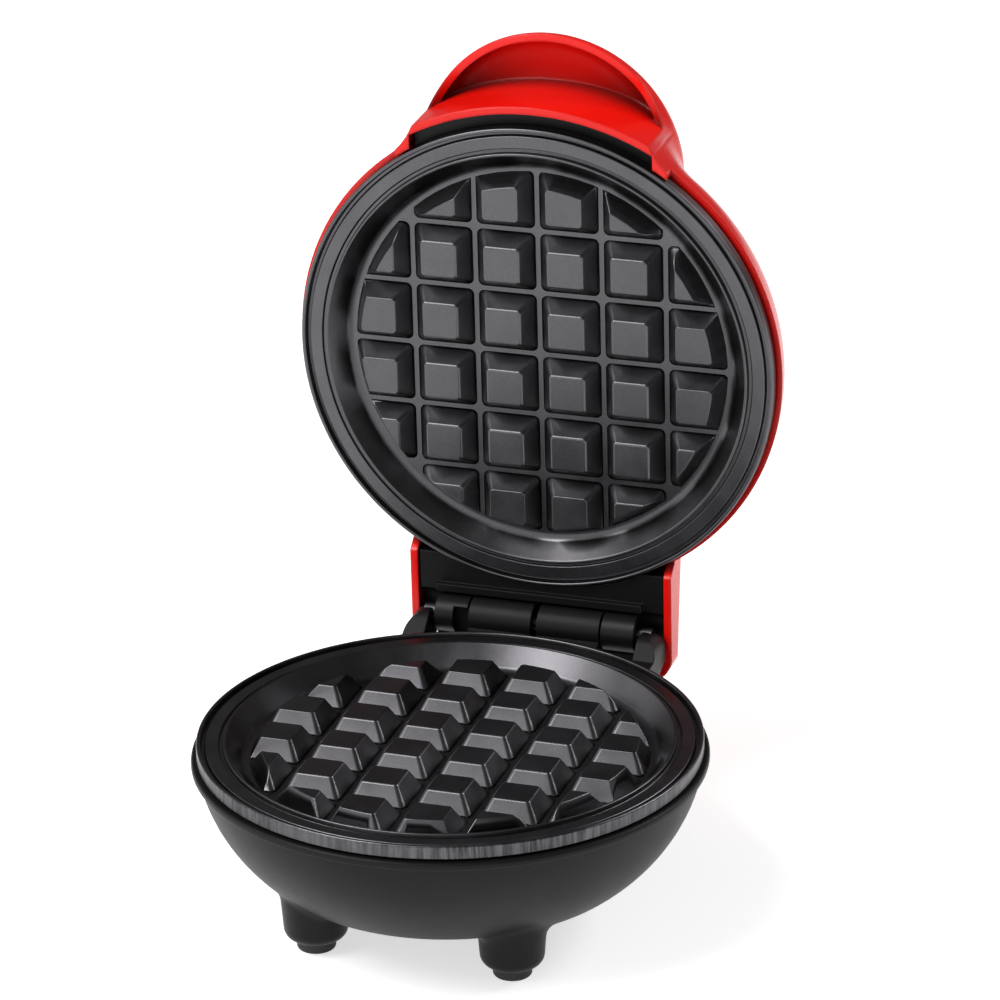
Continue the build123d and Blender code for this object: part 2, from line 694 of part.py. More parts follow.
def terminal_screws():
    """One clamping screw in each way of the terminal block."""
    seat = BOWL_FLOOR_Z + BOWL_WALL + BLOCK_SIZE[2] / 2
    one = screw(SMALL_SCREW_R, SMALL_HEAD_R, SMALL_HEAD, BLOCK_SIZE[2] / 2 - 1.5).rotate(Axis.X, 180)
    return joined([Pos(x, BLOCK_Y, seat) * one for x in terminal_ways()])


def cord_gland():
    """Rubber bush in the nose at the back of the bowl."""
    bush = turned([
        (CORD_BORE_R, -GLAND_DEPTH, 0),
        (GLAND_NECK_R, -GLAND_DEPTH, 0.4),
        (GLAND_NECK_R, 0, 0),
        (GLAND_FLANGE_R, 0, 0),
        (GLAND_FLANGE_R, GLAND_FLANGE, 0.6),
        (CORD_BORE_R, GLAND_FLANGE, 0),
    ])
    return Pos(0, GLAND_END_Y, GLAND_Z) * bush.rotate(Axis.X, -90)


def dome_radius(height, inset):
    """Radius of the lid's round body at a height above its edge, outside or a wall's depth in."""
    share = height / (SHELL_HEIGHT - inset)
    straight = SHELL_R - inset - SHELL_DRAFT * height
    return straight * (1 - share**SHOULDER_POWER) ** (1 / SHOULDER_POWER)


def handle_circle(height):
    """Radius and centre Y of the handle's round front at a height."""
    rise = max(0, height - ARCH_HEIGHT) / (SHELL_HEIGHT - ARCH_HEIGHT)
    flare = HANDLE_FLARE * rise
    lost = HANDLE_ROUND * (1 - math.sqrt(1 - rise**2))
    return HANDLE_R + flare - lost, HANDLE_R + flare - HANDLE_REACH


def shell_outline(height):
    """Outline of the lid and its handle at a height: two circles joined by two blend arcs."""
    body_r = dome_radius(height, 0)
    handle_r, handle_y = handle_circle(height)
    blend_r = HANDLE_BLEND_R + SHELL_R - body_r
    reach = body_r + blend_r
    blend_y = (reach**2 - (handle_r + blend_r) ** 2 + handle_y**2) / (2 * handle_y)
    blend_x = math.sqrt(reach**2 - blend_y**2)
    arcs = []
    ends = []
    for side in (1, -1):
        blend = Vector(side * blend_x, blend_y)
        to_body = blend.normalized() * -1
        to_handle = (Vector(0, handle_y) - blend).normalized()
        start = blend + to_body * blend_r
        stop = blend + to_handle * blend_r
        middle = blend + (to_body + to_handle).normalized() * blend_r
        arcs.append(ThreePointArc(start, middle, stop))
        ends.append((start, stop))
    arcs.append(ThreePointArc(ends[0][0], (0, body_r), ends[1][0]))
    arcs.append(ThreePointArc(ends[0][1], (0, handle_y - handle_r), ends[1][1]))
    return Pos(0, 0, SHELL_Z + height) * make_face(arcs)


def scoop():
    """Finger pocket under the handle, behind a wall round the lid, with a curved ceiling."""
    rim_r = HANDLE_R - HANDLE_RIM
    depth = SHELL_HEIGHT - SHELL_WALL - ARCH_HEIGHT
    low = SHELL_Z - 1.0
    curve = []
    for share in POCKET_LEVELS:
        radius = rim_r - POCKET_ROUND * (1 - math.sqrt(1 - share**2))
        curve.append((radius, SHELL_Z + ARCH_HEIGHT + share * depth))
    outline = Curve() + [
        Line((0, low), (rim_r, low)),
        Line((rim_r, low), curve[0]),
        Spline(*curve),
        Line(curve[-1], (0, curve[-1][1])),
        Line((0, curve[-1][1]), (0, low)),
    ]
    pocket = revolve(Plane.XZ * make_face(outline.edges()), Axis.Z)
    return Pos(0, HANDLE_R - HANDLE_REACH, 0) * pocket - rod(0, 0, SCOOP_R, SHELL_Z - CUT, SHELL_Z + CUT)


def arch():
    """Cut that lifts the handle's rim above the lid's edge, outside the wall round the lid."""
    low = SHELL_Z - 1.0
    top = SHELL_Z + ARCH_HEIGHT
    outline = rounded_face([
        (-ARCH_FOOT_X, low, 0),
        (ARCH_FOOT_X, low, 0),
        (ARCH_TOP_X, top, ARCH_CORNER),
        (-ARCH_TOP_X, top, ARCH_CORNER),
    ])
    return Plane.XZ * extrude(outline, 2 * HANDLE_REACH) - rod(0, 0, SCOOP_R, low, top)


def edge_trim():
    """Cut that sets the dome's edge back from the lip under the handle and the hood's edges."""
    low = SHELL_Z - 1.0
    high = SHELL_Z + EDGE_RISE
    cut = ring(HANDLE_REACH, SKIRT_R - SHELL_WALL, low, high)
    cut = cut - box(-LIP_END_X, LIP_END_X, -HANDLE_REACH, 0, low, high)
    hood_start = math.sqrt(SHELL_R**2 - TAIL_HALF_WIDTH**2)
    hood_side = rounded_face([
        (hood_start, high, 0),
        (hood_start + EDGE_RISE, low, EDGE_ROUND),
        (2 * HINGE_Y, low, 0),
        (2 * HINGE_Y, high, 0),
    ])
    reach = TAIL_HALF_WIDTH + 1.0
    plane = Plane(origin=(-reach, 0, 0), z_dir=(1, 0, 0), x_dir=(0, 1, 0))
    return cut - plane * extrude(hood_side, 2 * reach)


def lid_inside():
    """Hollow of the lid's round body."""
    depth = SHELL_HEIGHT - SHELL_WALL
    points = [(dome_radius(share * depth, SHELL_WALL), SHELL_Z + share * depth) for share in LEVELS]
    low = (points[0][0], SHELL_Z - 1.0)
    outline = Curve() + [
        Line((0, low[1]), low),
        Line(low, points[0]),
        Spline(*points),
        Line(points[-1], (0, points[-1][1])),
        Line((0, points[-1][1]), (0, low[1])),
    ]
    return revolve(Plane.XZ * make_face(outline.edges()), Axis.Z)


def tail(inset):
    """Hood over the hinge, as a solid, to its outer face or a wall's depth inside it."""
    low = SHELL_Z - inset
    half = TAIL_HALF_WIDTH - inset
    start = HINGE_Y / 2
    end = TAIL_END_Y - inset
    shoulder = SHELL_Z + TAIL_HEIGHT - inset
    top = shoulder + TAIL_RISE
    sections = []
    for y, height in ((start, top), (end + 1.0, shoulder)):
        outline = rounded_face([
            (-half, low, 0),
            (half, low, 0),
            (half, height, TAIL_SIDE_CORNER - inset),
            (-half, height, TAIL_SIDE_CORNER - inset),
        ])
        sections.append(Plane.XZ.offset(-y) * outline)
    side = rounded_face([
        (start - 1.0, low - 1.0, 0),
        (end, low - 1.0, 0),
        (end - TAIL_DRAFT, shoulder, TAIL_CORNER - inset),
        (start - 1.0, top + 1.0, 0),
    ])
    plan = rounded_face([
        (-half - 1.0, start - 1.0, 0),
        (half + 1.0, start - 1.0, 0),
        (half, end + 0.5, TAIL_CORNER - inset),
        (-half, end + 0.5, TAIL_CORNER - inset),
    ])
    across = Plane(origin=(-CUT, 0, 0), z_dir=(1, 0, 0), x_dir=(0, 1, 0)) * extrude(side, 2 * CUT)
    upright = Pos(0, 0, low - 1.0) * extrude(plan, SHELL_HEIGHT + CUT / 2)
    return loft(sections) & across & upright


def shell_posts():
    """Places of the two screw posts inside the hood."""
    y = TAIL_END_Y - SHELL_WALL - SHELL_POST_INSET
    return [(-SHELL_POST_X, y), (SHELL_POST_X, y)]


def lid_shell():
    """Moulded lid cover in one piece with the scooped handle and the hinge hood."""
    hood = tail(0)
    shell = loft([shell_outline(share * SHELL_HEIGHT) for share in LEVELS]) + hood
    gap = rod(0, 0, SCOOP_R - SCOOP_WALL, SHELL_Z, SHELL_Z + FRONT_GAP_HEIGHT)
    reach = FRONT_GAP_HALF_WIDTH
    gap = gap & box(-reach, reach, -SCOOP_R, 0, SHELL_Z, SHELL_Z + CUT)
    gap = gap + rod(0, 0, SKIRT_R + LOOSE_CLEARANCE, SHELL_Z - 1.0, SHELL_Z + EDGE_RISE)
    shell = shell - lid_inside() - gap - scoop() - arch() - tail(SHELL_WALL) - edge_trim()
    panel_top = FRAME_RING_Z + PANEL_LAP
    posts = []
    for x, y in shell_posts():
        posts.append(rod(x, y, SHELL_POST_R, panel_top, SHELL_Z + SHELL_HEIGHT) & hood)
    for x in (-REST_POST_X, REST_POST_X):
        posts.append(rod(x, 0, SHELL_POST_R, PAN_TOP, SHELL_CEILING))
    shell = shell + posts
    pilot_r = SMALL_SCREW_R + THREAD_CLEARANCE
    holes = [rod(x, y, pilot_r, panel_top, panel_top + PILOT_DEPTH) for x, y in shell_posts()]
    holes.append(rod(0, LENS_Y, LENS_R + SEAT_CLEARANCE, SHELL_CEILING - 1.0, SHELL_TOP + 1.0))
    return shell - holes


def lid_frame():
    """Black inner frame: a pan over the heater, the panel under the hood and the hinge knuckles."""
    ring_top = FRAME_RING_Z + FRAME_RING_HEIGHT
    frame = turned([
        (FRAME_RING_INNER_R, FRAME_RING_Z, 0),
        (FRAME_R, FRAME_RING_Z, 0.4),
        (FRAME_R, ring_top, 0.4),
        (PAN_TOP_R, PAN_TOP, 1.0),
        (PAN_INNER_R, PAN_TOP, 0),
        (PAN_INNER_R, PAN_Z, 0),
        (PAN_TOP_R - FRAME_WALL, PAN_Z, 0),
        (FRAME_R - 2 * FRAME_WALL, ring_top, 0),
        (FRAME_RING_INNER_R, ring_top, 0),
    ])
    reach = FRONT_GAP_HALF_WIDTH - PANEL_GAP
    tongue = ring(SCOOP_R - SCOOP_WALL - PANEL_GAP, FRAME_R - 1.0, FRAME_RING_Z, ring_top)
    tongue = tongue & box(-reach, reach, -SCOOP_R, 0, PARTING_Z, PAN_TOP)
    half = TAIL_HALF_WIDTH - SHELL_WALL - PANEL_GAP
    panel_top = FRAME_RING_Z + PANEL_LAP
    lean = TAIL_DRAFT * (panel_top - SHELL_Z + SHELL_WALL) / TAIL_HEIGHT
    end = TAIL_END_Y - SHELL_WALL - lean - PANEL_GAP
    corner = TAIL_CORNER - SHELL_WALL
    plan = rounded_face([
        (-half, FRAME_RING_INNER_R, 0),
        (half, FRAME_RING_INNER_R, 0),
        (half, end, corner),
        (-half, end, corner),
    ])
    panel = Pos(0, 0, PANEL_Z) * extrude(plan, panel_top - PANEL_Z)
    panel = panel - rod(0, 0, SKIRT_R + LOOSE_CLEARANCE, PANEL_Z, FRAME_RING_Z)
    trough_half = EAR_START_X - LOOSE_CLEARANCE
    cover = rod_x(HINGE_Y, HINGE_Z, TROUGH_R + TROUGH_WALL, -trough_half, trough_half)
    inside = rod_x(HINGE_Y, HINGE_Z, TROUGH_R, -CUT, CUT)
    below = box(-CUT, CUT, 0, 2 * HINGE_Y, 0, HINGE_Z)
    frame = frame + tongue + panel + cover - inside - (cover & below)
    for start, stop in ((-KNUCKLE_END_X, -KNUCKLE_START_X), (KNUCKLE_START_X, KNUCKLE_END_X)):
        frame = frame + rod_x(HINGE_Y, HINGE_Z, BARREL_R, start, stop)
        front = HINGE_Y - BARREL_R + 1.0
        back = HINGE_Y + BARREL_R - 1.0
        frame = frame + box(start, stop, front, back, HINGE_Z + 1.0, HINGE_Z + TROUGH_R + 0.5)
    holes = [rod_x(HINGE_Y, HINGE_Z, PIVOT_R + PIVOT_CLEARANCE, -CUT, CUT)]
    for x, y in LID_PLACES:
        holes.append(rod(x, y, SCREW_R + SCREW_CLEARANCE, PAN_Z, PAN_TOP))
    for x, y in element_pin_places():
        holes.append(rod(x, y, ELEMENT_TUBE_R + LOOSE_CLEARANCE, PAN_Z, PAN_TOP))
    for x, y in shell_posts():
        holes.append(rod(x, y, SMALL_SCREW_R + SCREW_CLEARANCE, PANEL_Z, panel_top))
        holes.append(rod(x, y, SMALL_HEAD_R + SCREW_CLEARANCE, PANEL_Z, PANEL_Z + SMALL_HEAD))
    return frame - holes


def knuckle_notch():
    """Slot in the front of the left knuckle, where it stands with the lid open."""
    start = -KNUCKLE_START_X - NOTCH_WIDTH
    front = HINGE_Y - BARREL_R - 1.0
    back = HINGE_Y - PIVOT_R - 0.5
    return box(start, -KNUCKLE_START_X + 0.1, front, back, HINGE_Z - CUT / 2, HINGE_Z + 3.4)


def plate_screws():
    """Four screws through the frame and the shield into the upper plate's bosses."""
    length = FRAME_WALL + SHIELD_WALL + PILOT_DEPTH - 1.0
    one = screw(SCREW_R, HEAD_R, HEAD_HEIGHT, length).rotate(Axis.X, 180)
    return joined([Pos(x, y, PAN_TOP) * one for x, y in LID_PLACES])


def shell_screws():
    """Two screws up through the frame's panel into the hood's posts."""
    length = FRAME_RING_Z + PANEL_LAP - PANEL_Z - SMALL_HEAD + 4.0
    one = screw(SMALL_SCREW_R, SMALL_HEAD_R, SMALL_HEAD, length)
    return joined([swung_open(Pos(x, y, PANEL_Z + SMALL_HEAD) * one) for x, y in shell_posts()])


def indicator_lens():
    """Clear lens seated from inside in the lid's crown."""
    return Pos(0, LENS_Y, 0) * turned([
        (0, SHELL_CEILING - LENS_FLANGE, 0),
        (LENS_FLANGE_R, SHELL_CEILING - LENS_FLANGE, 0),
        (LENS_FLANGE_R, SHELL_CEILING, 0),
        (LENS_R, SHELL_CEILING, 0),
        (LENS_R, SHELL_TOP + LENS_CROWN, LENS_CROWN),
        (0, SHELL_TOP + LENS_CROWN, 0),
    ])


def neon_lamp():
    """Small glow lamp lying under the lens."""
    z = PAN_TOP + HOLDER_FLOOR + SEAT_CLEARANCE + LAMP_R
    half = LAMP_LENGTH / 2
    return rod_x(LENS_Y, z, LAMP_R, -half, half)


def lamp_holder():
    """Trough on the frame that holds the lamp."""
    half_width = LAMP_R + SEAT_CLEARANCE + HOLDER_WALL
    half = LAMP_LENGTH / 2 + HOLDER_WALL + SEAT_CLEARANCE
    inner = LAMP_R + SEAT_CLEARANCE
    top = PAN_TOP + HOLDER_FLOOR + LAMP_R
    body = box(-half, half, LENS_Y - half_width, LENS_Y + half_width, PAN_TOP, top)
    end = half - HOLDER_WALL
    return body - box(-end, end, LENS_Y - inner, LENS_Y + inner, PAN_TOP + HOLDER_FLOOR, top)


def base_pieces():
    """Everything that stands still."""
    return {
        "base_housing": base_housing(),
        "rubber_feet": joined([Pos(x, y, 0) * rubber_foot() for x, y in LEG_PLACES]),
        "base_screws": base_screws(),
        "lower_plate": face_up(cooking_plate(LEG_PLACES, True)),
        "lower_element": face_up(element(LOWER_TAIL)),
        "lower_heat_shield": face_up(heat_shield(LOWER_SHIELD_R, LEG_PLACES, True)),
        "thermostat": face_up(thermostat()),
        "thermostat_bracket": face_up(bracket()),
        "thermal_fuse": face_up(thermal_fuse()),
        "fuse_clip": face_up(fuse_clip()),
        "bracket_screws": bracket_screws(),
        "terminal_block": terminal_block(),
        "terminal_screws": terminal_screws(),
        "cord_gland": cord_gland(),
        "hinge_pin": hinge_pin(),
    }


def lid_pieces():
    """Everything that swings, drawn shut and then opened."""
    turn = Rot(0, 0, 180)
    shut = {
        "lid_shell": lid_shell(),
        "upper_plate": face_down(turn * cooking_plate(LID_PLACES, False)),
        "upper_element": face_down(turn * element(UPPER_TAIL)),
        "upper_heat_shield": face_down(turn * heat_shield(UPPER_SHIELD_R, LID_PLACES, False)),
        "indicator_lens": indicator_lens(),
        "neon_lamp": neon_lamp(),
        "lamp_holder": lamp_holder(),
    }
    swung = {name: swung_open(piece) for name, piece in shut.items()}
    swung["lid_frame"] = swung_open(lid_frame()) - knuckle_notch()
    swung["plate_screws"] = swung_open(plate_screws())
    swung["shell_screws"] = shell_screws()
    return swung


def main():
    os.makedirs("parts", exist_ok=True)
    pieces = {**base_pieces(), **lid_pieces()}
    boxes = [piece.bounding_box() for piece in pieces.values()]
    middle_y = (min(b.min.Y for b in boxes) + max(b.max.Y for b in boxes)) / 2
    print("plate centre's y in the saved frame:", round(-middle_y, 4))
    for name, piece in pieces.items():
        export_step(Pos(0, -middle_y, 0) * piece, f"parts/{name}.step")
        print(name, round(piece.volume), piece.is_valid)


main()
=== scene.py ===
# %% [markdown]
# # A mini waffle maker, standing open
# The frame comes first. It brings every rigid piece of the machine in metres, already in its place,
# with the base standing still and the lid hinged behind it. This script dresses that frame:
# it gives each piece a finish, remodels what needs finer edges than the frame has, and lights it.

# %% Load the frame
import bpy
import bmesh
import json
import math
from mathutils import Matrix, Vector

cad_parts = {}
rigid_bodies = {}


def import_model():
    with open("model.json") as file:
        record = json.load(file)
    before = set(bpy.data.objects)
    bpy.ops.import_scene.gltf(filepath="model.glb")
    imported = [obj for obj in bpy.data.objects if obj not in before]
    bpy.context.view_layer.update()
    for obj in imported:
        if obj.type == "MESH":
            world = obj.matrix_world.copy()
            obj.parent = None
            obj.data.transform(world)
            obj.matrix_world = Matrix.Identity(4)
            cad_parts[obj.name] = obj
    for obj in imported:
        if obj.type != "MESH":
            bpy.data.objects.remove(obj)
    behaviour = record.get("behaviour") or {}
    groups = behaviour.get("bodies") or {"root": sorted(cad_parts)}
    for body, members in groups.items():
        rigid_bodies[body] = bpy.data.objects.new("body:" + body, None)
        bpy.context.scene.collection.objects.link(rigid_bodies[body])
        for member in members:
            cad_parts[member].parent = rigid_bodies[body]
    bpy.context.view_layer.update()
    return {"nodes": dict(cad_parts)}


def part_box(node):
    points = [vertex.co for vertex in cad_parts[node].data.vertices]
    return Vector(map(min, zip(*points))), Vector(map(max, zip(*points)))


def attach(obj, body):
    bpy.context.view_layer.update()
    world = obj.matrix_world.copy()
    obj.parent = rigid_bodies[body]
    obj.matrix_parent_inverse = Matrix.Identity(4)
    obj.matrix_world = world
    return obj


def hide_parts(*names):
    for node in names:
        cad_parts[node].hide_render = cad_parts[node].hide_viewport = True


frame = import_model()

nodes = frame["nodes"]

# %% [markdown]
# ## Camera
# A long lens from about 1.2 m flattens the machine a little, as product pictures do. The camera
# stands to the right and looks down at about 22 degrees, so both waffle plates show their blocks.
# It is placed on a sphere round a point in the middle of the machine, because two angles and a
# distance are easier to tune than a place and a turn. The lens is in mm, other lengths in metres.

# %% Camera
AZIMUTH = math.radians(18.23)
ELEVATION = math.radians(22.37)
ROLL = math.radians(-0.89)
DISTANCE = 1.19218
LENS = 179.74
TARGET = Vector((0.01377, -0.01621, 0.11013))


def place_camera():
    """Camera on a sphere round the target, turned a little about its own line of sight."""
    back = Vector((
        math.sin(AZIMUTH) * math.cos(ELEVATION),
        -math.cos(AZIMUTH) * math.cos(ELEVATION),
        math.sin(ELEVATION),
    ))
    level = Vector((math.cos(AZIMUTH), math.sin(AZIMUTH), 0))
    up = back.cross(level)
    right = level * math.cos(ROLL) + up * math.sin(ROLL)
    up = up * math.cos(ROLL) - level * math.sin(ROLL)
    data = bpy.data.cameras.new("product_camera")
    data.lens = LENS
    data.clip_end = 20
    camera = bpy.data.objects.new("product_camera", data)
    turn = Matrix((right, up, back)).transposed().to_4x4()
    camera.matrix_world = Matrix.Translation(TARGET + back * DISTANCE) @ turn
    bpy.context.scene.collection.objects.link(camera)
    bpy.context.scene.camera = camera
    return camera


camera = place_camera()
print("camera stands at", [round(v, 3) for v in camera.matrix_world.translation])

# %% [markdown]
# ## Shader nodes in one line
# Materials are trees of nodes. A few small helpers keep the rest of the script readable: one starts
# an empty material, one adds a node and sets or links its sockets by name, and two more make the
# sums and the smooth slopes that the finishes share.

# %% Node helpers
def new_material(name):
    """Empty material and its node tree."""
    material = bpy.data.materials.new(name)
    material.use_nodes = True
    material.node_tree.nodes.clear()
    return material, material.node_tree


def feed(tree, socket, value):
    """Links another node's output to a socket, or sets the socket to a plain value."""
    if isinstance(value, bpy.types.NodeSocket):
        tree.links.new(value, socket)
    else:
        socket.default_value = value


def node(tree, kind, **settings):
    """One shader node; a setting named like a socket feeds that socket, any other sets the node."""
    made = tree.nodes.new("ShaderNode" + kind)
    for key, value in settings.items():
        label = key.replace("_", " ")
        socket = next((s for s in made.inputs if s.name.lower() == label and s.enabled), None)
        if socket is None:
            setattr(made, key, value)
        else:
            feed(tree, socket, value)
    return made


def math_node(tree, operation, first, second):
    """Result of one operation on two values or sockets."""
    made = node(tree, "Math", operation=operation)
    feed(tree, made.inputs[0], first)
    feed(tree, made.inputs[1], second)
    return made.outputs[0]


def ramp(tree, value, low, high, start, end):
    """Value mapped from low..high to start..end with a smooth slope."""
    made = node(tree, "MapRange", interpolation_type="SMOOTHSTEP", value=value,
                from_min=low, from_max=high, to_min=start, to_max=end)
    return made.outputs[0]


print("node helpers ready: new_material, feed, node, math_node, ramp")

# %% [markdown]
# ## Table
# The machine stands on a white table that runs out of sight. Its colour is pale, and a little glow
# that only the camera, mirrors and clear things see lifts it to white, while the soft shadow stays.
# Matt surfaces don't receive that glow, so it doesn't flood the machine with light.

# %% Table
WHITE = (1, 1, 1, 1)
PAPER = (0.8, 0.8, 0.8, 1)
TABLE_GLOW = 0.62
TABLE_HALF = 6


def seen_directly(tree):
    """1 for what the camera, a reflection or a clear lens sees, 0 for light on its way."""
    path = node(tree, "LightPath")
    either = math_node(tree, "MAXIMUM", path.outputs["Is Camera Ray"], path.outputs["Is Glossy Ray"])
    return math_node(tree, "MAXIMUM", either, path.outputs["Is Transmission Ray"])


def white_table():
    """Table top with a soft shadow and its glow."""
    mesh = bpy.data.meshes.new("table")
    surface = bmesh.new()
    bmesh.ops.create_grid(surface, x_segments=2, y_segments=2, size=TABLE_HALF)
    surface.to_mesh(mesh)
    surface.free()
    table = bpy.data.objects.new("table", mesh)
    bpy.context.scene.collection.objects.link(table)
    material, tree = new_material("white_table")
    paint = node(tree, "BsdfDiffuse", color=PAPER)
    strength = math_node(tree, "MULTIPLY", seen_directly(tree), TABLE_GLOW)
    glow = node(tree, "Emission", color=WHITE, strength=strength)
    both = node(tree, "AddShader")
    feed(tree, both.inputs[0], paint.outputs[0])
    feed(tree, both.inputs[1], glow.outputs[0])
    node(tree, "OutputMaterial", surface=both.outputs[0])
    table.data.materials.append(material)


white_table()

# %% [markdown]
# ## Studio room
# The world round the table is bright low down in front and to the left, and dark overhead, at the
# right and behind, as in a studio with black cards: the waffle blocks then show light fronts and
# dark sides. Only the direction matters for that, so slopes over its X, Y and Z make the room.

# %% Studio room
ROOM_BRIGHT = 0.95
ROOM_DIM = 0.1
LEFT_SHARE = 0.8


def studio_room():
    """Room light by direction: bright low in front and to the left, dark overhead and behind."""
    world = bpy.data.worlds.new("studio")
    world.use_nodes = True
    tree = world.node_tree
    tree.nodes.clear()
    way = node(tree, "SeparateXYZ", vector=node(tree, "TexCoord").outputs["Generated"])
    low = ramp(tree, way.outputs["Z"], low=0.4, high=0.75, start=1.0, end=0.0)
    ahead = math_node(tree, "MULTIPLY", way.outputs["Y"], -1.0)
    left = math_node(tree, "MULTIPLY", way.outputs["X"], -LEFT_SHARE)
    side = math_node(tree, "ADD", ahead, left)
    front = ramp(tree, side, low=-0.05, high=0.75, start=0.0, end=1.0)
    bright = math_node(tree, "MULTIPLY", math_node(tree, "MULTIPLY", low, front), ROOM_BRIGHT)
    strength = math_node(tree, "ADD", bright, ROOM_DIM)
    light = node(tree, "Background", color=WHITE, strength=strength)
    node(tree, "OutputWorld", surface=light.outputs[0])
    bpy.context.scene.world = world


studio_room()
print("world:", bpy.context.scene.world.name)

# %% [markdown]
# ## Lamps
# Two soft boxes. The large one is the key: high up at the left front, it lights the red lid and
# throws the shadow to the right and back. A smaller one behind at the right keeps the lid's dome
# red where the key doesn't reach, and stands where no plate mirrors it towards the viewer.

# %% Lamps
def panel_lamp(name, place, aim, width, height, power):
    """Soft rectangular lamp that faces a point."""
    data = bpy.data.lights.new(name, "AREA")
    data.shape = "RECTANGLE"
    data.size = width
    data.size_y = height
    data.energy = power
    lamp = bpy.data.objects.new(name, data)
    lamp.location = place
    lamp.rotation_euler = (Vector(aim) - Vector(place)).to_track_quat("-Z", "Y").to_euler()
    bpy.context.scene.collection.objects.link(lamp)


panel_lamp("key_panel", place=(-0.75, -0.7, 1.35), aim=(0, 0, 0.1), width=0.9, height=0.9, power=22)
panel_lamp("back_panel", place=(1.0, 0.8, 0.95), aim=(0, 0.05, 0.1), width=0.6, height=0.6, power=11)

view = bpy.context.scene.view_settings
view.view_transform = "Standard"

# %% [markdown]
# ## A finish with grain, handling marks and soft edges
# Every finish starts from a Principled shader. Fine noise bumps it like a moulding's grain or a
# sprayed coating, and slower noise varies its roughness like handling does. A Bevel node rounds the
# normals near edges, so that an edge catches the light as a moulded or pressed one does. Where a
# moulding has deep folds, an Ambient Occlusion node darkens its colour there. This darkening is
# painted shade in the colour, standing in for the shade that falls in a fold.

# %% Finish
MM = 0.001
# How far the painted shade in deep folds reaches, in metres.
PAINTED_SHADE_REACH = 14 * MM


def finish(name, colour, roughness, grain=0.4, depth=0.01, spread=0.08, tint=0.06, metallic=0.0,
           edge=0.3, gloss=0.5, painted_fold_shade=0.0, **more):
    """Principled finish.

    grain, depth and edge are the bump's size, its height and the rounding of edges, in mm; spread
    and tint are how far roughness and colour wander; gloss is the strength of reflections;
    painted_fold_shade is the share of colour that painted shade takes away in a deep fold; more
    sets further sockets of the shader.
    """
    material, tree = new_material(name)
    place = node(tree, "TexCoord").outputs["Object"]
    slow = node(tree, "TexNoise", vector=place, scale=45.0, detail=6.0, roughness=0.6)
    fine = node(tree, "TexNoise", vector=place, scale=1 / (grain * MM), detail=3.0, roughness=0.5)
    rough = ramp(tree, slow.outputs["Fac"], 0.3, 0.7, roughness - spread / 2, roughness + spread / 2)
    speckle_and_fold_shade = ramp(tree, fine.outputs["Fac"], 0.0, 1.0, 1 - tint, 1 + tint)
    # Painted shade: where the Ambient Occlusion node finds a deep fold, the colour is darkened.
    if painted_fold_shade:
        open_sky = node(tree, "AmbientOcclusion", samples=16, distance=PAINTED_SHADE_REACH)
        shadow = ramp(tree, open_sky.outputs["AO"], 0.3, 0.75, 1 - painted_fold_shade, 1.0)
        speckle_and_fold_shade = math_node(tree, "MULTIPLY", speckle_and_fold_shade, shadow)
    shade = node(tree, "MixRGB", blend_type="MULTIPLY", fac=1.0, color1=(*colour, 1), color2=speckle_and_fold_shade)
    soft = node(tree, "Bevel", samples=4, radius=edge * MM)
    bump = node(tree, "Bump", strength=1.0, distance=depth * MM, height=fine.outputs["Fac"],
                normal=soft.outputs[0])
    shader = node(tree, "BsdfPrincipled", metallic=metallic, specular_ior_level=gloss,
                  base_color=shade.outputs[0], roughness=rough, normal=bump.outputs[0], **more)
    node(tree, "OutputMaterial", surface=shader.outputs[0])
    return material


def dress(material, *names):
    """Gives the pieces one finish."""
    for name in names:
        mesh = nodes[name].data
        mesh.materials.clear()
        mesh.materials.append(material)
    print(material.name, "on", ", ".join(names))


print("finish and dress ready; folds darken within", PAINTED_SHADE_REACH, "m")

# %% [markdown]
# ## Plastics
# The lid is a glossy red moulding: a thin clear coat over a saturated colour gives the sharp
# highlight over the deep red, and painted shade in its colour darkens its scoop and folds. The base
# is a black moulding with a satin grain, and the frame in the lid is the same plastic, a little
# smoother.

# %% Plastics
# The red lid's colour carries painted shade in its scoop and folds.
red_plastic = finish(
    "red_gloss_plastic", (0.87, 0.007, 0.003), 0.25, grain=3.5, depth=0.002, spread=0.03,
    tint=0.008, edge=0.9, gloss=0.32, painted_fold_shade=0.8, coat_weight=0.15, coat_roughness=0.08)
black_plastic = finish(
    "black_satin_plastic", (0.006, 0.0058, 0.0064), 0.45, grain=0.5, depth=0.012, edge=0.5, gloss=0.18)
frame_plastic = finish(
    "black_hinge_plastic", (0.006, 0.006, 0.0065), 0.38, grain=0.6, depth=0.010, edge=0.4, gloss=0.2)
dress(red_plastic, "lid_shell")
dress(black_plastic, "base_housing")
dress(frame_plastic, "lid_frame", "lamp_holder")

# %% [markdown]
# ## Bare metals
# The screws and straps are plated steel, the heaters' tubes are dull from heat, the lower shield is
# galvanised sheet and the upper one aluminium. The hinge pin is blackened, so it hardly shows.
# Sheets have a broad, shallow mottle, turned and drawn parts a fine one.

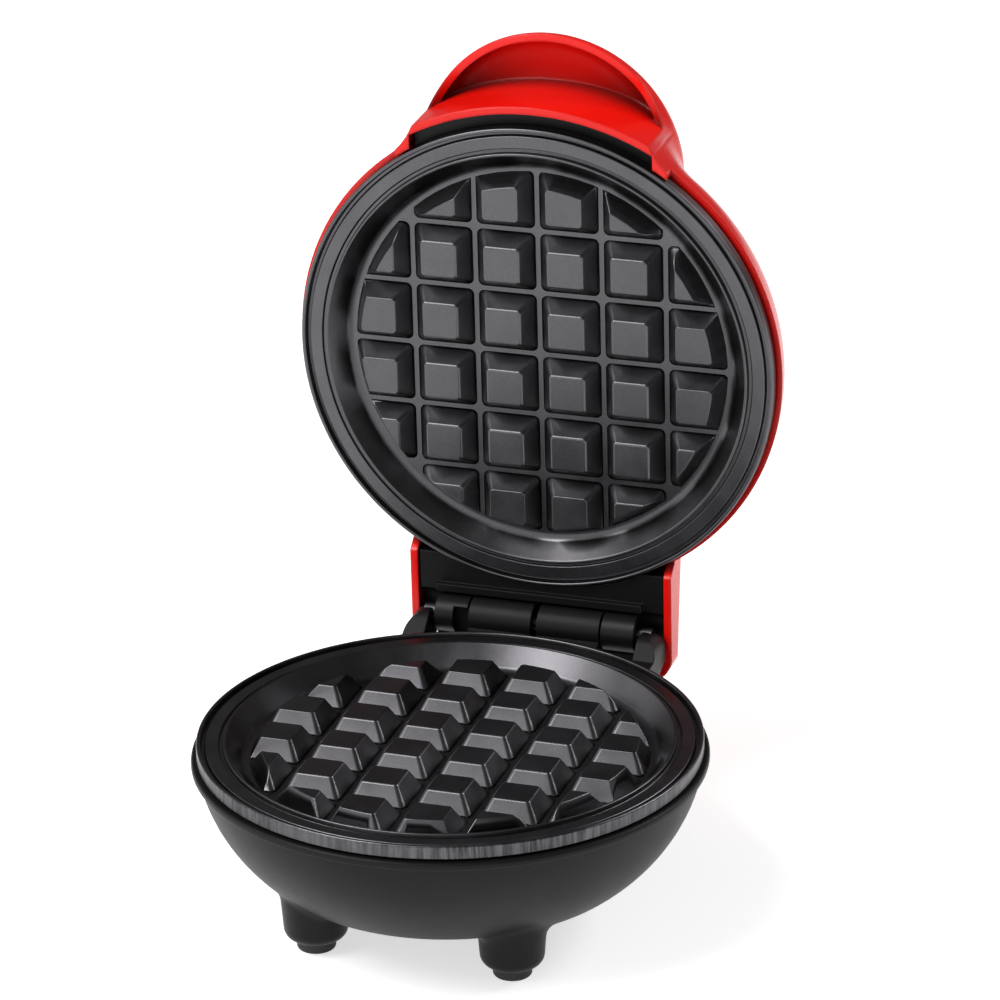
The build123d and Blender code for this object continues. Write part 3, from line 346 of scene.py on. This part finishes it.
# %% Bare metals
TURNED = {"grain": 0.6, "depth": 0.004, "spread": 0.1, "tint": 0.05, "metallic": 1.0}
DRAWN = {"grain": 0.5, "depth": 0.012, "spread": 0.15, "tint": 0.1, "metallic": 1.0}
ZINC = {"grain": 3.0, "depth": 0.006, "spread": 0.15, "tint": 0.12, "metallic": 1.0}
ROLLED = {"grain": 2.0, "depth": 0.004, "spread": 0.1, "tint": 0.05, "metallic": 1.0}
steel = finish("plated_steel", (0.62, 0.62, 0.63), 0.3, **TURNED)
black_steel = finish("blackened_steel", (0.06, 0.06, 0.065), 0.4, **TURNED)
sheath = finish("heater_sheath", (0.3, 0.29, 0.28), 0.5, **DRAWN)
sheet = finish("galvanised_sheet", (0.6, 0.61, 0.62), 0.38, **ZINC)
bright_sheet = finish("aluminium_sheet", (0.78, 0.78, 0.79), 0.32, **ROLLED)
dress(steel, "base_screws", "bracket_screws", "terminal_screws", "plate_screws", "shell_screws")
dress(steel, "thermostat_bracket", "fuse_clip", "thermal_fuse")
dress(black_steel, "hinge_pin")
dress(sheath, "lower_element", "upper_element")
dress(sheet, "lower_heat_shield")
dress(bright_sheet, "upper_heat_shield")

# %% [markdown]
# ## Rubber, ceramic and glass
# The feet and the cord's bush are matt rubber, the thermostat and the terminal block glazed
# ceramic, and the lamp and its lens a clear red.

# %% Rubber, ceramic and glass
rubber = finish("black_rubber", (0.016, 0.016, 0.016), 0.62, grain=0.7, depth=0.02)
ceramic = finish("glazed_ceramic", (0.78, 0.74, 0.66), 0.35, grain=0.8, depth=0.008)
lens = finish(
    "red_lens", (0.8, 0.12, 0.06), 0.12, grain=1.0, depth=0.002, spread=0.03, tint=0.02,
    transmission_weight=0.8)
dress(rubber, "rubber_feet", "cord_gland")
dress(ceramic, "thermostat", "terminal_block")
dress(lens, "indicator_lens", "neon_lamp")

# %% [markdown]
# ## The waffle plates
# Each plate is one aluminium casting: a dished floor with 32 tapered blocks, a bead round the mouth,
# a narrow groove, a flat ring, another groove and an outer lip. On the real one every edge is
# rounded by the mould and the coating, and those thin rounded edges are what the eye reads. So the
# castings are modelled again here, finer than in the frame. Both are the same casting; the upper
# one is turned over. Sizes are in mm, with the parting plane at height 0. Only TOUCHING, the distance
# at which two points count as one, is in metres.
#
# First the round body. Its outline is a chain of points, some of them rounded, that is spun round
# the axis: the natural way to make anything that a lathe or a round mould makes.

# %% The round body of a plate
TOUCHING = 1e-6
FLOOR = -5.88
BACK = -8.08
OUTLINE = (
    (0, FLOOR, 0), (49.4, FLOOR, 0), (50.9, FLOOR, 1.2),        # dished floor
    (54.9, -0.2, 0.25), (55.5, -0.2, 0.25),                     # bead round the mouth
    (55.7, -1.5, 0.15), (56.5, -1.5, 0.15),                     # narrow groove
    (56.7, -0.8, 0.2), (59.9, -0.8, 0.3),                       # flat ring
    (60.1, -2.0, 0.15), (60.9, -2.0, 0.15),                     # outer groove
    (61.1, -0.2, 0.3), (62.1, -0.2, 0.5), (62.1, -3.6, 0.2),    # lip and outer wall
    (60.1, -3.6, 0), (60.1, -2.6, 0), (57.0, -2.6, 1.2),        # underside of the rim
    (52.9, BACK, 1.2), (0, BACK, 0),                            # back of the floor
)


def everything(mesh):
    """All parts of a bmesh, as the operators that cut and spin want them."""
    return mesh.verts[:] + mesh.edges[:] + mesh.faces[:]


def soften(mesh, geom, setback, segments, affect="EDGES", clamp=False):
    """Rounds edges or corners by a setback in mm."""
    bmesh.ops.bevel(mesh, geom=geom, offset=setback * MM, offset_type="OFFSET", segments=segments,
                    profile=0.5, affect=affect, clamp_overlap=clamp, material=-1)


def turned(outline, steps=180):
    """Body of revolution from (radius, height, setback) points; a setback rounds its corner."""
    body = bmesh.new()
    points = [body.verts.new((r * MM, 0, z * MM)) for r, z, _ in outline]
    for pair in zip(points, points[1:]):
        body.edges.new(pair)
    for setback in sorted({corner[2] for corner in outline if corner[2]}):
        chosen = [point for point, corner in zip(points, outline) if corner[2] == setback]
        soften(body, chosen, setback, 4, affect="VERTICES")
    bmesh.ops.spin(body, geom=everything(body), cent=(0, 0, 0), axis=(0, 0, 1), dvec=(0, 0, 0),
                   angle=math.tau, steps=steps, use_merge=True, use_duplicate=False)
    bmesh.ops.remove_doubles(body, verts=body.verts[:], dist=TOUCHING)
    bmesh.ops.recalc_face_normals(body, faces=body.faces[:])
    return body


casting = turned(OUTLINE)
print("round body:", len(casting.faces), "faces")

# %% [markdown]
# ## One waffle block
# A block is a cube first. Its upright edges are bevelled, its top is scaled down for the draft that
# lets the waffle go, and a cut near the foot makes a ring, below which the foot is spread into a
# small flare. Then its sharp edges are rounded, apart from those at the foot.

# %% A block
BLOCK = 14.6934
BLOCK_HEIGHT = 4.88
BLOCK_CORNER = 1.5
DRAFT = math.radians(29.1)
FLARE = 0.7
FLARE_HEIGHT = 0.35
EDGE = 0.45
EDGES_ABOVE = 0.6
SHARP = math.radians(20)


def block_at(x, y):
    """Tapered block on the floor of the plate, before its edges are rounded."""
    block = bmesh.new()
    bmesh.ops.create_cube(block, size=1.0)
    bmesh.ops.scale(block, vec=(BLOCK * MM, BLOCK * MM, BLOCK_HEIGHT * MM), verts=block.verts[:])
    upright = [e for e in block.edges if abs(e.verts[0].co.z - e.verts[1].co.z) > MM]
    soften(block, upright, BLOCK_CORNER, 6)
    top = [v for v in block.verts if v.co.z > 0]
    taper = 1 - 2 * BLOCK_HEIGHT * math.tan(DRAFT) / BLOCK
    bmesh.ops.scale(block, vec=(taper, taper, 1), verts=top)
    foot = -BLOCK_HEIGHT / 2 * MM
    cut = foot + FLARE_HEIGHT * MM
    bmesh.ops.bisect_plane(block, geom=everything(block), plane_co=(0, 0, cut), plane_no=(0, 0, 1))
    low = [v for v in block.verts if v.co.z < foot + 0.1 * MM]
    flare = 1 + FLARE / BLOCK
    bmesh.ops.scale(block, vec=(flare, flare, 1), verts=low)
    middle = FLOOR + BLOCK_HEIGHT / 2
    bmesh.ops.translate(block, vec=(x * MM, y * MM, middle * MM), verts=block.verts[:])
    return block


def round_edges(block):
    """Rounds the sharp edges above the foot."""
    above = (FLOOR + EDGES_ABOVE) * MM
    sharp = [e for e in block.edges
             if e.calc_face_angle(0) > SHARP and max(v.co.z for v in e.verts) > above]
    soften(block, sharp, EDGE, 3, clamp=True)


sample = block_at(0, 0)
round_edges(sample)
print("block:", len(sample.faces), "faces")
sample.free()

# %% [markdown]
# ## The grid of blocks
# The blocks stand on a grid six by six, without its corners. Those at the rim are trimmed to the
# round floor by flat cuts that follow a cone. Each block is made, trimmed, rounded and then poured
# into the casting's mesh.

# %% Grid
GRID = 6
PITCH = 16.5934
LIMIT_R = 49.0
CONE_FACETS = 72


def trim_to_cone(block):
    """Cuts off what stands outside the cone that limits the blocks, one flat facet at a time."""
    for step in range(CONE_FACETS):
        angle = step * math.tau / CONE_FACETS
        x, y = math.cos(angle), math.sin(angle)
        normal = Vector((x * math.cos(DRAFT), y * math.cos(DRAFT), math.sin(DRAFT)))
        point = Vector((LIMIT_R * x, LIMIT_R * y, FLOOR)) * MM
        if max((v.co - point).dot(normal) for v in block.verts) < TOUCHING:
            continue
        bmesh.ops.bisect_plane(block, geom=everything(block), plane_co=point, plane_no=normal,
                               clear_outer=True)
        bmesh.ops.holes_fill(block, edges=[e for e in block.edges if e.is_boundary])


def pour(target, part):
    """Adds a finished bmesh to another one."""
    holder = bpy.data.meshes.new("holder")
    part.to_mesh(holder)
    part.free()
    target.from_mesh(holder)
    bpy.data.meshes.remove(holder)


def add_blocks(target):
    """The whole grid; returns how many blocks it has."""
    count = 0
    middle = (GRID - 1) / 2
    for column in range(GRID):
        for row in range(GRID):
            x, y = (column - middle) * PITCH, (row - middle) * PITCH
            if math.hypot(x, y) > LIMIT_R:
                continue
            block = block_at(x, y)
            trim_to_cone(block)
            round_edges(block)
            pour(target, block)
            count += 1
    return count


print("blocks:", add_blocks(casting))

# %% [markdown]
# ## The back of a plate
# Behind the floor stand four bosses for the screws, and two ribs hold the ring heater between them.
# They hide in the closed machine, but the lid and the base can be taken apart. Ribs and bosses
# start a little inside the floor, so that no slit shows at their roots.

# %% Bosses and ribs
RIBS = (25.25, 33.35)
RIB_WALL = 1.4
RIB_HEIGHT = 2.9
RIB_SUNK = 0.1
RIB_GAP = 13.6
BOSS = (
    (0, -7.5, 0), (3.5, -7.5, 0), (3.5, -15.08, 0.3),           # post
    (1.52, -15.08, 0.2), (1.52, -9.1, 0), (0, -9.1, 0),         # blind pilot hole
)
BOSS_X = 25.1
BASE_BOSSES = [(x, y) for y in (-30.3, 43.0) for x in (-BOSS_X, BOSS_X)]
LID_BOSSES = [(x, y) for y in (-30.3, 30.3) for x in (-BOSS_X, BOSS_X)]


def rib(inner):
    """Round rib on the back of the plate, open at +Y where the heater's ends leave."""
    wall = bmesh.new()
    start = wall.verts.new((0, 0, 0))
    bmesh.ops.translate(wall, vec=(inner * MM, 0, (BACK + RIB_SUNK) * MM), verts=[start])
    out = bmesh.ops.extrude_vert_indiv(wall, verts=[start])["verts"]
    bmesh.ops.translate(wall, vec=(RIB_WALL * MM, 0, 0), verts=out)
    grown = bmesh.ops.extrude_edge_only(wall, edges=wall.edges[:])["geom"]
    down = [part for part in grown if isinstance(part, bmesh.types.BMVert)]
    bmesh.ops.translate(wall, vec=(0, 0, -RIB_HEIGHT * MM), verts=down)
    open_half = math.asin(RIB_GAP / inner)
    turn = Matrix.Rotation(math.pi / 2 + open_half, 4, "Z")
    bmesh.ops.transform(wall, matrix=turn, verts=wall.verts[:])
    bmesh.ops.spin(wall, geom=everything(wall), cent=(0, 0, 0), axis=(0, 0, 1), dvec=(0, 0, 0),
                   angle=math.tau - 2 * open_half, steps=96, use_duplicate=False)
    bmesh.ops.holes_fill(wall, edges=[e for e in wall.edges if e.is_boundary])
    bmesh.ops.recalc_face_normals(wall, faces=wall.faces[:])
    return wall


def boss(x, y):
    """Screw boss with its blind pilot hole."""
    post = turned(BOSS, 32)
    bmesh.ops.translate(post, vec=(x * MM, y * MM, 0), verts=post.verts[:])
    return post


for inner in RIBS:
    pour(casting, rib(inner))
print("casting:", len(casting.faces), "faces")

# %% [markdown]
# ## The coating
# The plates are sprayed with a dark coating with metal flake in it. It behaves like a dark, rather
# rough metal: it mirrors the bright front softly and turns nearly black where it faces the dark.
# A second noise thins it in places, and fine upright scuffs mark the lower plate's outer wall. A
# noise that is stretched upwards gives the streaks, and the distance from the plate's axis keeps
# them on that wall.

# %% Coating
AXIS_Y = -16.208
WALL_FROM = 61.8
WALL_FULL = 62.0
STREAKS = (900, 900, 60)
THICK = (0.098, 0.095, 0.101, 1)
THIN = (0.122, 0.119, 0.126, 1)
FLAKE_HEIGHT = 0.006


def scuffs(tree, place, colour):
    """The colour with upright streaks on the plate's outer wall."""
    stretch = node(tree, "Mapping", vector=place, scale=STREAKS)
    scratch = node(tree, "TexNoise", vector=stretch.outputs[0], scale=1.0, detail=4.0, roughness=0.7)
    axis = node(tree, "Mapping", vector=place, location=(0, -AXIS_Y * MM, 0), scale=(1, 1, 0))
    radius = node(tree, "VectorMath", operation="LENGTH", vector=axis.outputs[0])
    wall = ramp(tree, radius.outputs["Value"], WALL_FROM * MM, WALL_FULL * MM, 0.0, 1.0)
    patch = node(tree, "TexNoise", vector=place, scale=22.0, detail=2.0, roughness=0.5)
    there = math_node(tree, "MULTIPLY", wall, ramp(tree, patch.outputs["Fac"], 0.4, 0.6, 0.35, 1.0))
    streak = ramp(tree, scratch.outputs["Fac"], 0.36, 0.66, 0.3, 1.15)
    marked = node(tree, "MixRGB", blend_type="MULTIPLY", fac=there, color1=colour, color2=streak)
    return marked.outputs[0]


def coating(name, scuffed):
    """Non-stick coating with flake, thin spots and, where asked, scuffs on the outer wall."""
    material, tree = new_material(name)
    place = node(tree, "TexCoord").outputs["Object"]
    flake = node(tree, "TexNoise", vector=place, scale=3200.0, detail=2.0, roughness=0.5)
    cloud = node(tree, "TexNoise", vector=place, scale=90.0, detail=5.0, roughness=0.6)
    tone = node(tree, "ValToRGB", fac=cloud.outputs["Fac"])
    for stop, position, shade in zip(tone.color_ramp.elements, (0.32, 0.7), (THICK, THIN)):
        stop.position = position
        stop.color = shade
    glint = ramp(tree, flake.outputs["Fac"], 0.25, 0.75, 0.9, 1.12)
    flecked = node(tree, "MixRGB", blend_type="MULTIPLY", fac=1.0, color1=tone.outputs[0],
                   color2=glint)
    colour = flecked.outputs[0]
    if scuffed:
        colour = scuffs(tree, place, colour)
    rough = ramp(tree, cloud.outputs["Fac"], 0.3, 0.7, 0.3, 0.38)
    bump = node(tree, "Bump", strength=1.0, distance=FLAKE_HEIGHT * MM, height=flake.outputs["Fac"])
    shader = node(tree, "BsdfPrincipled", metallic=1.0, base_color=colour, roughness=rough,
                  normal=bump.outputs[0])
    node(tree, "OutputMaterial", surface=shader.outputs[0])
    return material


plain_coating = coating("nonstick_coating", False)
scuffed_coating = coating("scuffed_nonstick_coating", True)
print("coatings:", plain_coating.name, "and", scuffed_coating.name)

# %% [markdown]
# ## Both castings in place
# The casting faces up round its own axis. The lower one is only moved to its place and lifted to
# the parting plane. The upper one is turned face down, as on the shut lid, and swung open about the
# hinge. Weighted normals keep the flat faces flat while the small rounded edges shade smoothly.

# %% Place the castings
HINGE = Vector((0, 72.0, 46.0)) * MM
PARTING = 47.0 * MM
SHIFT = Vector((0, AXIS_Y, 0)) * MM
LID_OPEN = math.radians(88)


def place_casting(name, bosses, matrix, material, stands_for, body):
    """Finished plate: the casting with its bosses, placed, smoothed and put on its body."""
    own = casting.copy()
    for x, y in bosses:
        pour(own, boss(x, y))
    bmesh.ops.transform(own, matrix=matrix, verts=own.verts[:])
    for face in own.faces:
        face.smooth = True
    mesh = bpy.data.meshes.new(name)
    own.to_mesh(mesh)
    own.free()
    mesh.materials.append(material)
    plate = bpy.data.objects.new(name, mesh)
    bpy.context.scene.collection.objects.link(plate)
    weighted = plate.modifiers.new("flat_faces", "WEIGHTED_NORMAL")
    weighted.mode = "FACE_AREA"
    weighted.weight = 50
    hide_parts(stands_for)
    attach(plate, body)
    return plate


lift = Matrix.Translation((0, 0, PARTING))
up = Matrix.Translation(SHIFT + Vector((0, 0, PARTING)))
face_down = lift @ Matrix.Rotation(math.pi, 4, "X") @ Matrix.Rotation(math.pi, 4, "Z")
swing = Matrix.Translation(HINGE) @ Matrix.Rotation(-LID_OPEN, 4, "X") @ Matrix.Translation(-HINGE)
over = Matrix.Translation(SHIFT) @ swing @ face_down
lower = place_casting("lower_waffle_plate", BASE_BOSSES, up, scuffed_coating, "lower_plate", "base")
upper = place_casting("upper_waffle_plate", LID_BOSSES, over, plain_coating, "upper_plate", "lid")
casting.free()
for plate, name in ((lower, "lower_plate"), (upper, "upper_plate")):
    corners = [Vector(v.co) for v in plate.data.vertices]
    low = [min(c[i] for c in corners) for i in range(3)]
    high = [max(c[i] for c in corners) for i in range(3)]
    cad_low, cad_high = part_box(name)
    off = [round((a - b) / MM, 3) for a, b in zip((*low, *high), (*cad_low, *cad_high))]
    print(plate.name, "differs from the frame's piece by", off, "mm")
